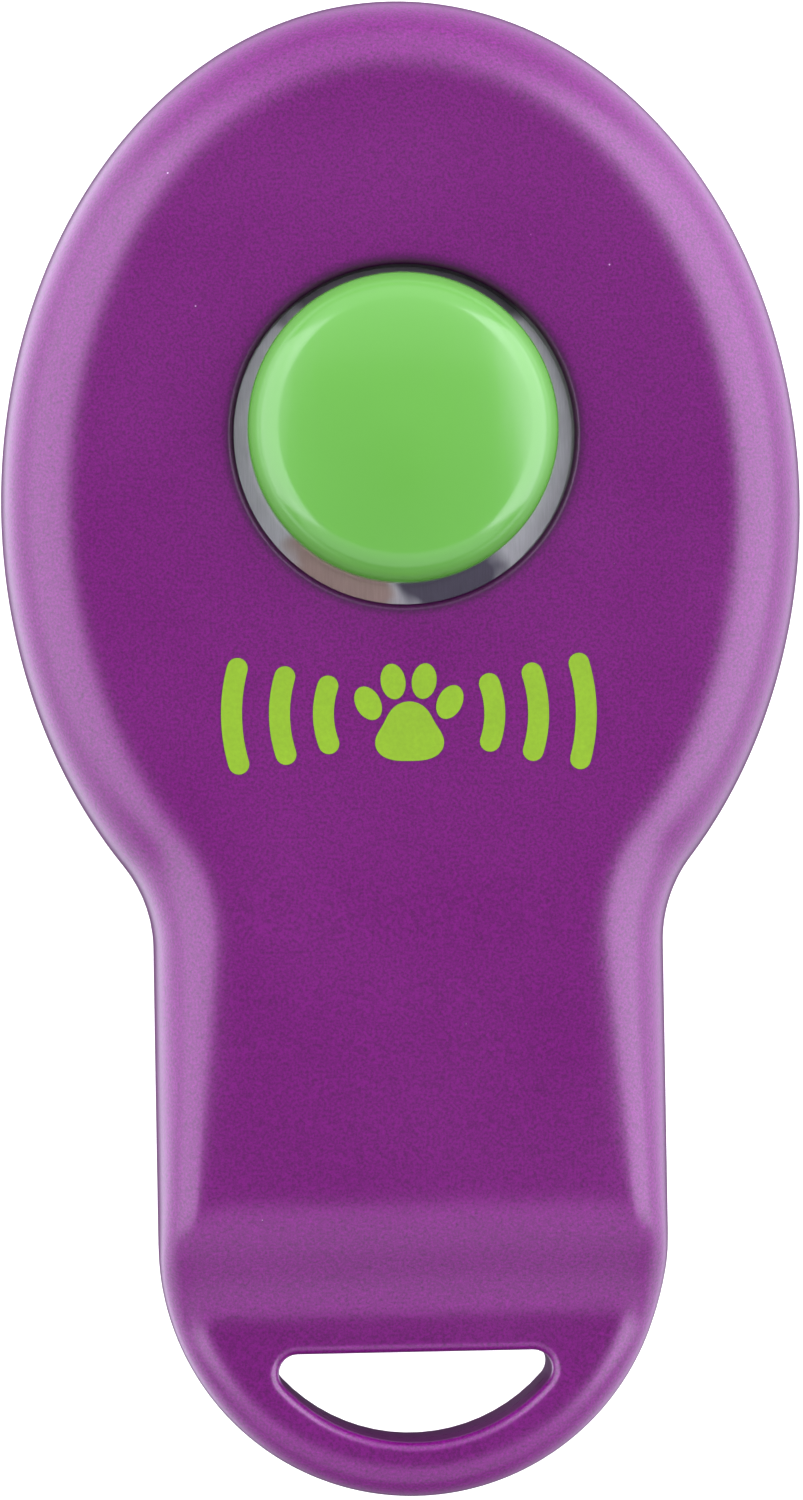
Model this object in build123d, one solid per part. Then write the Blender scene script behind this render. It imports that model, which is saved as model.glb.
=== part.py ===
from build123d import *

import os
from math import cos, radians, sin

# Button clicker trainer: a two-part hollow housing, a button on a snapping steel disc and an elastic strap.
# Millimetres. +Z is up, away from the back; +Y runs from the slotted tail to the round head. The origin is
# the centre of the bounding box's base, so the back lies on Z = 0 and the button points up.

# ---- Housing outline, seen from above ----
LENGTH = 76.2
HEAD_HALF_WIDTH = 20.35
HEAD_HALF_LENGTH = 25.7
TAIL_RADIUS = 12.95  # half the tail's width, and the round of its end
NECK_RADIUS = 7.0  # concave corner where head meets tail
HEAD_Y = LENGTH / 2 - HEAD_HALF_LENGTH
TAIL_Y = TAIL_RADIUS - LENGTH / 2

# ---- Housing heights ----
PARTING_Z = 10.0
HEAD_TOP_Z = 16.5
RAMP_TOP_Y = -13.2  # the top is flat ahead of this
RAMP_END_Y = -23.1
RAMP_END_Z = 15.4  # a shallow ramp leads down to here
STEP_END_Y = -28.5
TAIL_TOP_Z = 12.4  # a steep step leads down to the tail
BASE_END_Y = -11.0  # the flat base ends here and the back rises to the tail
BACK_RISE_END_Y = -26.0
TAIL_BOTTOM_Z = 6.6

# ---- Walls and edges ----
WALL = 1.8
CEILING_Z = HEAD_TOP_Z - 1.6
FLOOR_Z = 1.6
CAVITY_END_Y = -18.0  # the tail behind this is solid
TOP_ROUND = 4.4
BACK_ROUND = 4.6
TAIL_ROUND = 1.8
CAVITY_ROUND = 2.0
LIP_HEIGHT = 1.2
LIP_OFFSET = 1.0
LIP_GAP = 0.05
PARTING_CHAMFER = 0.15
PEG_RADIUS = 1.5
PEG_HEIGHT = 1.2
PEG_Y = -23.0

# ---- Lanyard slot: a circle cut off by a straight side ----
SLOT_ARC_RADIUS = 9.05
SLOT_NEAR_Y = -30.65  # straight side
SLOT_FAR_Y = -35.2  # deepest point of the arc
SLOT_CORNER = 0.95
SLOT_EDGE_ROUND = 0.55

# ---- Click unit ----
BUTTON_Y = 15.75
OPENING_RADIUS = 8.55
OPENING_EDGE_ROUND = 0.35
BUTTON_RADIUS = 7.8
BUTTON_TOP_Z = 19.7
BUTTON_SKIRT_Z = 16.2
BUTTON_WALL = 1.4
BUTTON_EDGE_ROUND = 2.0
BUTTON_CROWN = 26.0  # radius of the slightly domed top
BUTTON_INNER_ROUND = 0.4
DISC_RADIUS = 11.0
DISC_THICKNESS = 0.3
DISC_RIM_WIDTH = 3.3  # its inner part shows round the button
DISC_RISE = 1.2
DISC_PLAY = 0.5  # radial play of the disc in its seat
DISC_SEAT_WALL = 1.3
BUTTON_SHIFT = (-0.08, 0.28)  # where disc and button have settled, off the opening's centre
DISC_CROWN_Z = CEILING_Z + DISC_RISE  # upper face at the disc's centre
FLANGE_RADIUS = 6.2
FLANGE_THICKNESS = 0.9
PLUNGER_BOSS_RADIUS = 2.4
RETAINER_TOP_Z = 13.0
RETAINER_THICKNESS = 1.2
RETAINER_OUTER_RADIUS = 13.0
RETAINER_INNER_RADIUS = 9.4
EAR_RADIUS = 2.4
EAR_CIRCLE = 15.0
EAR_ANGLES = [90, 210, 330]

# ---- Screws: shank radius, shank length, head radius, head height ----
RETAINER_SCREW = (0.85, 3.4, 1.6, 1.0)
CASE_SCREW = (1.1, 9.4, 2.1, 1.5)
PLUNGER_SCREW = (0.8, 2.6, 1.6, 1.0)
WASHER_RADIUS = 2.5
WASHER_THICKNESS = 0.4
RECESS_ARM = 0.45  # width of each arm of the cross recess
SCREW_CLEARANCE = 0.1  # radial, in plain holes
CASE_SCREW_PLACES = [(-11.2, 28.2), (11.2, 28.2), (-8.0, -8.0), (8.0, -8.0)]
CASE_SCREW_SEAT_Z = 2.4
CASE_BOSS_RADIUS = 2.9
COUNTERBORE_RADIUS = 2.35

# ---- Finger groove and strap ----
GROOVE_TOP_Z = 6.4
GROOVE_HALF_WIDTH = 9.5
GROOVE_SKIN = 1.6
GROOVE_EDGE_ROUND = 2.0
STRAP_WIDTH = 12.0
STRAP_THICKNESS = 1.2
STRAP_Z = 0.25  # outer face of the strap above the base plane
STRAP_REACH = 12.6  # each strap slot from the groove's middle
STRAP_SLOT_LENGTH = 12.6
STRAP_SLOT_WIDTH = 1.8
ANCHOR_TOP_Z = 3.6
ANCHOR_HALF_LENGTH = 3.4
ANCHOR_HALF_WIDTH = 8.2
PIN_RADIUS = 0.8
PIN_LENGTH = 16.0
PIN_Z = ANCHOR_TOP_Z + STRAP_THICKNESS + PIN_RADIUS

# ---- Derived ----
GROOVE_RADIUS = (GROOVE_HALF_WIDTH**2 + GROOVE_TOP_Z**2) / (2 * GROOVE_TOP_Z)
GROOVE_Z = GROOVE_TOP_Z - GROOVE_RADIUS
DISC_SEAT_RADIUS = DISC_RADIUS + DISC_PLAY
DOME_RADIUS = DISC_RADIUS - DISC_RIM_WIDTH  # where the flat rim turns into the dome
CLICK_X = BUTTON_SHIFT[0]
CLICK_Y = BUTTON_Y + BUTTON_SHIFT[1]
STRAP_RECESS_Z = STRAP_Z + STRAP_THICKNESS
FLANGE_Z = BUTTON_TOP_Z - BUTTON_WALL - FLANGE_THICKNESS
DOME_SPHERE = (DOME_RADIUS**2 + DISC_RISE**2) / (2 * DISC_RISE)
WASHER_SAG = WASHER_RADIUS**2 / (2 * (DOME_SPHERE - DISC_THICKNESS)) + 0.005
WASHER_Z = DISC_CROWN_Z - DISC_THICKNESS - WASHER_SAG - WASHER_THICKNESS
EAR_PLACES = [
    (EAR_CIRCLE * cos(radians(a)), BUTTON_Y + EAR_CIRCLE * sin(radians(a))) for a in EAR_ANGLES
]


def rod(radius, low, high, x=0.0, y=0.0):
    """An upright cylinder between two heights."""
    return Pos(x, y, low) * Cylinder(radius, high - low, align=(Align.CENTER, Align.CENTER, Align.MIN))


def block(x_low, x_high, y_low, y_high, z_low, z_high):
    """A box given by its limits."""
    box = Box(x_high - x_low, y_high - y_low, z_high - z_low)
    return Pos((x_low + x_high) / 2, (y_low + y_high) / 2, (z_low + z_high) / 2) * box


def cross_rod(radius, y, z, length):
    """A cylinder lying along X."""
    return Pos(0, y, z) * Rot(0, 90, 0) * Cylinder(radius, length)


def outline_block(inset, low, high):
    """The housing outline, moved inwards by inset, as a straight block between two heights."""
    half_width = TAIL_RADIUS - inset
    head = Pos(0, HEAD_Y) * Ellipse(HEAD_HALF_WIDTH - inset, HEAD_HALF_LENGTH - inset)
    tail = Pos(0, (HEAD_Y + TAIL_Y) / 2) * Rectangle(2 * half_width, HEAD_Y - TAIL_Y)
    end = Pos(0, TAIL_Y) * Circle(half_width)
    body = Pos(0, 0, low) * extrude(head + tail + end, high - low)
    corners = [
        edge
        for edge in body.edges().filter_by(Axis.Z)
        if abs(abs(edge.center().X) - half_width) < 0.05 and edge.center().Y > TAIL_Y + 5
    ]
    return fillet(corners, NECK_RADIUS + inset)


def tail_block(low, high):
    """The tail's outline carried straight on into the head, as a block between two heights."""
    sides = Rectangle(2 * TAIL_RADIUS, -2 * TAIL_Y)
    end = Pos(0, TAIL_Y) * Circle(TAIL_RADIUS)
    return Pos(0, 0, low) * extrude(sides + end, high - low)


def side_prism(points, bends):
    """A closed side profile of (y, z) points swept across the width; bends gives a radius by point number."""
    face = make_face(Polyline(*[(0, y, z) for y, z in points], close=True))
    for number, radius in bends.items():
        y, z = points[number]
        corner = face.vertices().sort_by_distance((0, y, z))[0]
        face = fillet(corner, radius)
    return extrude(face, HEAD_HALF_WIDTH + 5, dir=(1, 0, 0), both=True)


def rim_edges(body, direction):
    """The edges that run round the top (direction 1) or the back (-1), without the creases that cross it."""
    chosen = []
    for edge in body.edges():
        along = edge.tangent_at(0.5)
        upright = abs(along.Z) > 0.95
        crease = edge.geom_type == GeomType.LINE and abs(along.X) > 0.99
        if not upright and not crease and (edge.center().Z - PARTING_Z) * direction > 1.0:
            chosen.append(edge)
    return chosen


def half_form(low, high, direction, head_round, prism):
    """Half the housing's outside: the outline cut to a side profile, rounded more at the head than the tail."""
    head = outline_block(0, low, high)
    outward = Axis.Z if direction > 0 else -Axis.Z
    head = fillet(head.faces().sort_by(outward)[-1].edges(), head_round)
    head = chamfer(head.faces().sort_by(outward)[0].edges(), PARTING_CHAMFER)
    tail = tail_block(low - 1.0, high + 1.0) & prism
    tail = fillet(rim_edges(tail, direction), TAIL_ROUND)
    ahead = block(-LENGTH, LENGTH, BASE_END_Y - 1.0, LENGTH, low - 1.0, high + 1.0)
    return (head & prism) & (tail + ahead)


def top_form():
    """The outside of the upper half: rounded head, shallow ramp, steep step, thin tail."""
    over = 2.0
    ramp_run = (RAMP_TOP_Y - RAMP_END_Y) / (HEAD_TOP_Z - RAMP_END_Z)
    points = [
        (LENGTH, PARTING_Z - over),
        (LENGTH, HEAD_TOP_Z + over),
        (RAMP_TOP_Y + ramp_run * over, HEAD_TOP_Z + over),
        (RAMP_END_Y, RAMP_END_Z),
        (STEP_END_Y, TAIL_TOP_Z),
        (-LENGTH, TAIL_TOP_Z),
        (-LENGTH, PARTING_Z - over),
    ]
    return half_form(PARTING_Z, HEAD_TOP_Z, 1, TOP_ROUND, side_prism(points, {3: 5.0, 4: 1.6}))


def back_points(offset, over):
    """The side profile above the back, moved up by offset, its flat base moved down by over."""
    rise_run = (BASE_END_Y - BACK_RISE_END_Y) / TAIL_BOTTOM_Z
    return [
        (LENGTH, PARTING_Z + 4.0),
        (LENGTH, offset - over),
        (BASE_END_Y + rise_run * over, offset - over),
        (BACK_RISE_END_Y, TAIL_BOTTOM_Z + offset),
        (-LENGTH, TAIL_BOTTOM_Z + offset),
        (-LENGTH, PARTING_Z + 4.0),
    ]


def back_form():
    """The outside of the lower half: flat base, well rounded, rising to the tail."""
    return half_form(0.0, PARTING_Z, -1, BACK_ROUND, side_prism(back_points(0.0, 2.0), {3: 6.0}))


def slot_cutter():
    """The lanyard slot's opening as an upright prism."""
    segment = Pos(0, SLOT_FAR_Y + SLOT_ARC_RADIUS) * Circle(SLOT_ARC_RADIUS)
    depth = SLOT_NEAR_Y - SLOT_FAR_Y
    segment &= Pos(0, SLOT_NEAR_Y - depth / 2) * Rectangle(4 * SLOT_ARC_RADIUS, depth)
    segment = fillet(segment.vertices(), SLOT_CORNER)
    return extrude(segment, LENGTH / 2, both=True)


def round_slot_edge(body, height):
    """Soften the slot's edge on the outer face at the given height."""
    edges = [
        edge
        for edge in body.edges()
        if abs(edge.center().Z - height) < 0.01
        and abs(edge.center().X) < SLOT_ARC_RADIUS
        and SLOT_FAR_Y - 0.1 < edge.center().Y < SLOT_NEAR_Y + 0.1
    ]
    return fillet(edges, SLOT_EDGE_ROUND)


def cavity_top():
    """The hollow of the upper half."""
    hollow = outline_block(WALL, PARTING_Z - 1.0, CEILING_Z)
    hollow &= block(-LENGTH, LENGTH, CAVITY_END_Y, LENGTH, 0, LENGTH)
    return fillet(hollow.faces().sort_by(Axis.Z)[-1].edges(), CAVITY_ROUND)


def cavity_bottom():
    """The hollow of the lower half, parallel to the back and clear of the finger groove's skin."""
    hollow = outline_block(WALL, FLOOR_Z - 1.0, PARTING_Z + 1.0)
    hollow &= block(-LENGTH, LENGTH, CAVITY_END_Y, LENGTH, 0, LENGTH)
    hollow &= side_prism(back_points(FLOOR_Z, 0.0), {})
    hollow = fillet(rim_edges(hollow, -1), CAVITY_ROUND)
    return hollow - cross_rod(GROOVE_RADIUS + GROOVE_SKIN, BUTTON_Y, GROOVE_Z, LENGTH)


def lip(gap):
    """The tongue that drops from the upper half; with no gap, the groove it needs in the lower half."""
    low = PARTING_Z - LIP_HEIGHT + gap
    ring = outline_block(LIP_OFFSET + gap, low, PARTING_Z + 0.5)
    ring -= outline_block(WALL + LIP_GAP - gap, low - 1.0, PARTING_Z + 1.0)
    return ring & block(-LENGTH, LENGTH, CAVITY_END_Y + gap, LENGTH, 0, LENGTH)


def top_shell():
    """The upper half: button opening, seat for the disc, screw bosses, lip."""
    shell = top_form()
    shell -= rod(OPENING_RADIUS, PARTING_Z, LENGTH, y=BUTTON_Y)
    edge = shell.edges().filter_by(GeomType.CIRCLE).sort_by(Axis.Z)[-1]
    shell = fillet(edge, OPENING_EDGE_ROUND)
    shell -= slot_cutter()
    shell = round_slot_edge(shell, TAIL_TOP_Z)
    seat = rod(DISC_SEAT_RADIUS + DISC_SEAT_WALL, RETAINER_TOP_Z, HEAD_TOP_Z, y=BUTTON_Y)
    seat -= rod(DISC_SEAT_RADIUS, PARTING_Z, LENGTH, y=BUTTON_Y)
    inside = seat + lip(LIP_GAP)
    for x, y in EAR_PLACES:
        inside += rod(EAR_RADIUS, RETAINER_TOP_Z, CEILING_Z + 0.5, x, y)
    for x, y in CASE_SCREW_PLACES:
        inside += rod(CASE_BOSS_RADIUS, PARTING_Z, CEILING_Z + 0.5, x, y)
    inside -= rod(DISC_SEAT_RADIUS, PARTING_Z, LENGTH, y=BUTTON_Y)
    shell = shell - cavity_top() + (inside & (cavity_top() + lip(LIP_GAP)))
    for x, y in EAR_PLACES:
        tip = RETAINER_TOP_Z - RETAINER_THICKNESS + RETAINER_SCREW[1]
        shell -= rod(RETAINER_SCREW[0], PARTING_Z, tip, x, y)
    for x, y in CASE_SCREW_PLACES:
        shell -= rod(CASE_SCREW[0], PARTING_Z - 2.0, CASE_SCREW_SEAT_Z + CASE_SCREW[1], x, y)
    return shell - rod(PEG_RADIUS, PARTING_Z - 1.0, PARTING_Z + PEG_HEIGHT, y=PEG_Y)


def groove_cutter():
    """The finger groove: a shallow arc across the back, its long edges rounded."""
    arc = Pos(BUTTON_Y, GROOVE_Z) * Circle(GROOVE_RADIUS)
    below = Pos(BUTTON_Y, -GROOVE_RADIUS) * Rectangle(LENGTH, 2 * GROOVE_RADIUS)
    section = arc + below
    edges = [
        vertex
        for vertex in section.vertices()
        if abs(vertex.Y) < 0.01 and abs(abs(vertex.X - BUTTON_Y) - GROOVE_HALF_WIDTH) < 0.1
    ]
    section = fillet(edges, GROOVE_EDGE_ROUND)
    return extrude(Plane.YZ * section, LENGTH, both=True)


def anchor(y):
    """The thickened floor round one strap slot, with a cradle for each end of the pin."""
    end = ANCHOR_HALF_WIDTH
    base = block(-end, end, y - ANCHOR_HALF_LENGTH, y + ANCHOR_HALF_LENGTH, 0.5, ANCHOR_TOP_Z)
    for side in (-1, 1):
        inner = STRAP_SLOT_LENGTH / 2 + 0.1
        x_low, x_high = sorted((side * inner, side * end))
        base += block(x_low, x_high, y - 2.0, y + 2.0, ANCHOR_TOP_Z, PIN_Z)
    return base - cross_rod(PIN_RADIUS, y, PIN_Z, 2 * LENGTH)


def bottom_shell():
    """The lower half: finger groove, strap slots and their anchors, screw bosses."""
    hollow = cavity_bottom()
    shell = back_form() - hollow
    inside = rod(PEG_RADIUS, PARTING_Z - 1.0, PARTING_Z + PEG_HEIGHT - 0.1, y=PEG_Y)
    for x, y in CASE_SCREW_PLACES:
        inside += rod(CASE_BOSS_RADIUS, FLOOR_Z, PARTING_Z, x, y) & back_form()
    for side in (-1, 1):
        inside += anchor(BUTTON_Y + side * STRAP_REACH) & back_form()
    shell = shell + inside - lip(0.0) - groove_cutter()
    for x, y in CASE_SCREW_PLACES:
        shell -= rod(COUNTERBORE_RADIUS, -1.0, CASE_SCREW_SEAT_Z, x, y)
        shell -= rod(CASE_SCREW[0] + SCREW_CLEARANCE, 0.0, PARTING_Z + 1.0, x, y)
    half = STRAP_SLOT_LENGTH / 2
    for side in (-1, 1):
        y = BUTTON_Y + side * STRAP_REACH
        shell -= block(-half, half, y - STRAP_SLOT_WIDTH / 2, y + STRAP_SLOT_WIDTH / 2, -1, ANCHOR_TOP_Z + 1)
        reach = sorted((BUTTON_Y + side * GROOVE_HALF_WIDTH / 2, y + side * STRAP_SLOT_WIDTH / 2))
        shell -= block(-half, half, reach[0], reach[1], -1, STRAP_RECESS_Z)
    shell -= slot_cutter()
    return round_slot_edge(shell, TAIL_BOTTOM_Z)


def click_rod(radius, low, high):
    """An upright cylinder on the axis of the button and the disc."""
    return rod(radius, low, high, CLICK_X, CLICK_Y)


def button_cap():
    """The button: a slightly domed shallow cup with a well rounded edge."""
    height = BUTTON_TOP_Z - BUTTON_SKIRT_Z
    section = Pos(BUTTON_RADIUS / 2, BUTTON_TOP_Z - height / 2) * Rectangle(BUTTON_RADIUS, height)
    section &= Pos(0, BUTTON_TOP_Z - BUTTON_CROWN) * Circle(BUTTON_CROWN)
    corner = section.vertices().sort_by_distance((BUTTON_RADIUS, BUTTON_TOP_Z))[0]
    section = fillet(corner, BUTTON_EDGE_ROUND)
    cap = Pos(CLICK_X, CLICK_Y) * revolve(Plane.XZ * section, Axis.Z)
    inner = click_rod(BUTTON_RADIUS - BUTTON_WALL, BUTTON_SKIRT_Z - 1, BUTTON_TOP_Z - BUTTON_WALL)
    inner = fillet(inner.edges().sort_by(Axis.Z)[-1], BUTTON_INNER_ROUND)
    return cap - inner


def button_plunger():
    """The carrier inside the cap: a flange with a boss that stands on the disc's crown."""
    carrier = click_rod(FLANGE_RADIUS, FLANGE_Z, FLANGE_Z + FLANGE_THICKNESS)
    carrier = chamfer(carrier.edges().sort_by(Axis.Z)[-1], BUTTON_INNER_ROUND)
    carrier += click_rod(PLUNGER_BOSS_RADIUS, DISC_CROWN_Z, FLANGE_Z + FLANGE_THICKNESS / 2)
    return carrier - click_rod(PLUNGER_SCREW[0], 0.0, WASHER_Z + PLUNGER_SCREW[1])


def click_disc():
    """The snap disc: a flat rim and a shallow spherical dome with a centre hole for the plunger screw."""
    centre_z = DISC_CROWN_Z - DOME_SPHERE
    dome = Sphere(DOME_SPHERE) - Sphere(DOME_SPHERE - DISC_THICKNESS)
    dome = Pos(CLICK_X, CLICK_Y, centre_z) * dome
    dome &= click_rod(DOME_RADIUS, CEILING_Z - DISC_THICKNESS, LENGTH)
    rim = click_rod(DISC_RADIUS, CEILING_Z - DISC_THICKNESS, CEILING_Z)
    rim -= click_rod(DOME_RADIUS - DISC_THICKNESS / 2, 0, LENGTH)
    return dome + rim - click_rod(PLUNGER_SCREW[0] + SCREW_CLEARANCE, 0, LENGTH)


def disc_washer():
    """The washer under the disc's centre."""
    washer = click_rod(WASHER_RADIUS, WASHER_Z, WASHER_Z + WASHER_THICKNESS)
    return washer - click_rod(PLUNGER_SCREW[0], 0, LENGTH)


def disc_retainer():
    """The three-eared ring that clamps the disc's rim to the ceiling."""
    low = RETAINER_TOP_Z - RETAINER_THICKNESS
    ring = rod(RETAINER_OUTER_RADIUS, low, RETAINER_TOP_Z, y=BUTTON_Y)
    for x, y in EAR_PLACES:
        ring += rod(EAR_RADIUS, low, RETAINER_TOP_Z, x, y)
    ring += rod(DISC_RADIUS, low, CEILING_Z - DISC_THICKNESS, y=BUTTON_Y)
    ring -= rod(RETAINER_INNER_RADIUS, 0, LENGTH, y=BUTTON_Y)
    for x, y in EAR_PLACES:
        ring -= rod(RETAINER_SCREW[0] + SCREW_CLEARANCE, 0, LENGTH, x, y)
    return ring


def screw(sizes, seat_z, x, y):
    """A pan-head screw driven upwards, its head below the seat, with a cross recess."""
    shank_radius, shank_length, head_radius, head_height = sizes
    head = rod(head_radius, seat_z - head_height, seat_z, x, y)
    head = fillet(head.edges().sort_by(Axis.Z)[0], head_height * 0.45)
    shank = rod(shank_radius, seat_z - 0.1, seat_z + shank_length, x, y)
    shank = chamfer(shank.edges().sort_by(Axis.Z)[-1], shank_radius * 0.4)
    depth = head_height * 0.6
    reach = head_radius * 0.6
    arm = Box(2 * reach, RECESS_ARM, 2 * depth)
    recess = arm + Rot(0, 0, 90) * arm
    return head + shank - Pos(x, y, seat_z - head_height) * recess


def screw_group(sizes, seat_z, places):
    """The same screw at several places."""
    return Compound(children=[screw(sizes, seat_z, x, y) for x, y in places])


def finger_strap():
    """The elastic strap: a run across the groove, turned up through both slots, with a loop at each end."""
    half = STRAP_WIDTH / 2
    slot_near = BUTTON_Y - STRAP_REACH
    slot_far = BUTTON_Y + STRAP_REACH
    t = STRAP_THICKNESS / 2
    path = [
        (slot_near - t, PIN_Z - PIN_RADIUS - t),
        (slot_near - t, STRAP_Z),
        (slot_far + t, STRAP_Z),
        (slot_far + t, PIN_Z - PIN_RADIUS - t),
        (slot_far - t, PIN_Z - PIN_RADIUS - t),
        (slot_far - t, STRAP_RECESS_Z),
        (slot_near + t, STRAP_RECESS_Z),
        (slot_near + t, PIN_Z - PIN_RADIUS - t),
    ]
    face = make_face(Polyline(*[(0, y, z) for y, z in path], close=True))
    for number in (1, 2):
        corner = face.vertices().sort_by_distance((0, *path[number]))[0]
        face = fillet(corner, STRAP_THICKNESS)
    strap = extrude(face, half, dir=(1, 0, 0), both=True)
    for y in (slot_near, slot_far):
        strap += cross_rod(PIN_RADIUS + STRAP_THICKNESS, y, PIN_Z, STRAP_WIDTH)
    for y in (slot_near, slot_far):
        strap -= cross_rod(PIN_RADIUS, y, PIN_Z, LENGTH)
    return strap


def strap_pin(side):
    """The steel pin inside one loop of the strap."""
    pin = cross_rod(PIN_RADIUS, BUTTON_Y + side * STRAP_REACH, PIN_Z, PIN_LENGTH)
    return chamfer(pin.edges().filter_by(GeomType.CIRCLE), 0.15)


PARTS = {
    "top_shell": top_shell(),
    "bottom_shell": bottom_shell(),
    "button_cap": button_cap(),
    "button_plunger": button_plunger(),
    "plunger_screw": screw(PLUNGER_SCREW, WASHER_Z, CLICK_X, CLICK_Y),
    "disc_washer": disc_washer(),
    "click_disc": click_disc(),
    "disc_retainer": disc_retainer(),
    "retainer_screws": screw_group(RETAINER_SCREW, RETAINER_TOP_Z - RETAINER_THICKNESS, EAR_PLACES),
    "case_screws": screw_group(CASE_SCREW, CASE_SCREW_SEAT_Z, CASE_SCREW_PLACES),
    "finger_strap": finger_strap(),
    "strap_pin_head": strap_pin(1),
    "strap_pin_neck": strap_pin(-1),
}

os.makedirs("parts", exist_ok=True)
for name, shape in PARTS.items():
    export_step(shape, f"parts/{name}.step")
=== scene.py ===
import math

import bmesh
import bpy
from mathutils import Matrix, Vector
from mathutils.geometry import delaunay_2d_cdt


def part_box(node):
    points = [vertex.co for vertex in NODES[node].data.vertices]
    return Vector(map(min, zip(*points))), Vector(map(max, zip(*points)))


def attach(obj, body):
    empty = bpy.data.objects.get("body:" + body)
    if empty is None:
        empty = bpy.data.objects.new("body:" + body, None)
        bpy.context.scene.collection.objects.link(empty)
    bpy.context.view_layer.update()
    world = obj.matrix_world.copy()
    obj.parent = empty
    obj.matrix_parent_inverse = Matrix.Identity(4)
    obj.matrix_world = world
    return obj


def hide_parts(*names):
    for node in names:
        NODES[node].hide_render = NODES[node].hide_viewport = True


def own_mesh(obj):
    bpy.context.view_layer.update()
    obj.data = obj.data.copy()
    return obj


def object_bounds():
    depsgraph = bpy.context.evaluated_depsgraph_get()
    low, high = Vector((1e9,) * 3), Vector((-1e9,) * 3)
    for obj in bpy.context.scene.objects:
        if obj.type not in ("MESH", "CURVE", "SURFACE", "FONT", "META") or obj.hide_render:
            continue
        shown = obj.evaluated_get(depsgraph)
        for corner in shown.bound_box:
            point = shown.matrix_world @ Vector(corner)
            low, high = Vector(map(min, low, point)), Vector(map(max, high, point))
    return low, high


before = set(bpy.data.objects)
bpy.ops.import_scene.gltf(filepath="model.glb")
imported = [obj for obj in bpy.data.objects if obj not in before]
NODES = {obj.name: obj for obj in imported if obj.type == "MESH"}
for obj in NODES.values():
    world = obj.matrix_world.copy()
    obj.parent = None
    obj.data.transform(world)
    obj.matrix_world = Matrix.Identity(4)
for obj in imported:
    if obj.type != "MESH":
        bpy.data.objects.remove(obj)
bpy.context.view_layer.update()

# Shapes are worked out in millimetres, and scaled to metres when they are finished.
MM = 0.001


def node_box(name):
    """The CAD node's box in millimetres."""
    low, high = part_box(name)
    return Vector(low) / MM, Vector(high) / MM


CASE_LOW, CASE_HIGH = node_box("top_shell")
CAP_LOW, CAP_HIGH = node_box("button_cap")
DISC_LOW, DISC_HIGH = node_box("click_disc")
STRAP_LOW, STRAP_HIGH = node_box("finger_strap")
PIN_HEAD = sum(node_box("strap_pin_head"), Vector()) / 2
PIN_NECK = sum(node_box("strap_pin_neck"), Vector()) / 2

# ---- Case outline, as in the CAD model ----
HEAD_HALF_WIDTH = CASE_HIGH.x
HEAD_HALF_LENGTH = 25.7
HEAD_Y = CASE_HIGH.y - HEAD_HALF_LENGTH
TAIL_RADIUS = 12.95
TAIL_Y = CASE_LOW.y + TAIL_RADIUS
NECK_RADIUS = 7.0

# ---- Upper surface ----
PARTING_Z = 10.0
HEAD_TOP_Z = CASE_HIGH.z
RAMP_TOP_Y = -13.2
RAMP_END_Y = -23.8
RAMP_END_Z = 15.4
STEP_END_Y = -28.2
TAIL_TOP_Z = 12.4
TOP_ROUND = 4.4
TAIL_ROUND = 2.15  # the tail's edge round is a little wider than it is deep
TAIL_DROP = 1.9
PARTING_CHAMFER = 0.15
CREASE_BLEND = 0.9  # how softly the head's round meets the ramp and the tail's round
STEP_BLEND = 1.0  # how softly the ramp turns into the step
FOOT_BLEND = 1.1  # how softly the step ends on the tail

# ---- Openings in the upper half ----
BUTTON_Y = 15.75
OPENING_RADIUS = 8.55
OPENING_EDGE = 0.35
SLOT_ARC_RADIUS = 9.05
SLOT_NEAR_Y = -30.65
SLOT_FAR_Y = -35.2
SLOT_CORNER = 0.95
SLOT_EDGE = 0.55
PEG_HOLE = (-23.0, 1.5, 11.2)  # y, radius, top

# ---- The core, which keeps the CAD model's own inside ----
CORE_INSET = 0.9
CORE_END_Y = -19.0
CORE_LOW_Z = 8.0
CORE_OVERLAP = 0.05


# =====================================================================================================
# Camera
# =====================================================================================================
CAMERA_PLACE = Vector((-0.014, -0.005, 0.300))
CAMERA_TARGET = Vector((-0.0001505, -0.0000223, 0.011))
CAMERA_ROLL = 0.0167  # radians
SENSOR_HEIGHT = 36.0
LENS = 135.984

camera_data = bpy.data.cameras.new("camera")
camera = bpy.data.objects.new("camera", camera_data)
bpy.context.scene.collection.objects.link(camera)
bpy.context.scene.camera = camera
forward = (CAMERA_TARGET - CAMERA_PLACE).normalized()
right = forward.cross(Vector((math.sin(CAMERA_ROLL), math.cos(CAMERA_ROLL), 0.0))).normalized()
turn = Matrix((right, right.cross(forward), -forward)).transposed()
camera.matrix_world = Matrix.Translation(CAMERA_PLACE) @ turn.to_4x4()
camera_data.sensor_fit = "VERTICAL"
camera_data.sensor_height = SENSOR_HEIGHT
camera_data.lens = LENS
camera_data.clip_start = 0.01
camera_data.clip_end = 20.0


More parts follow.
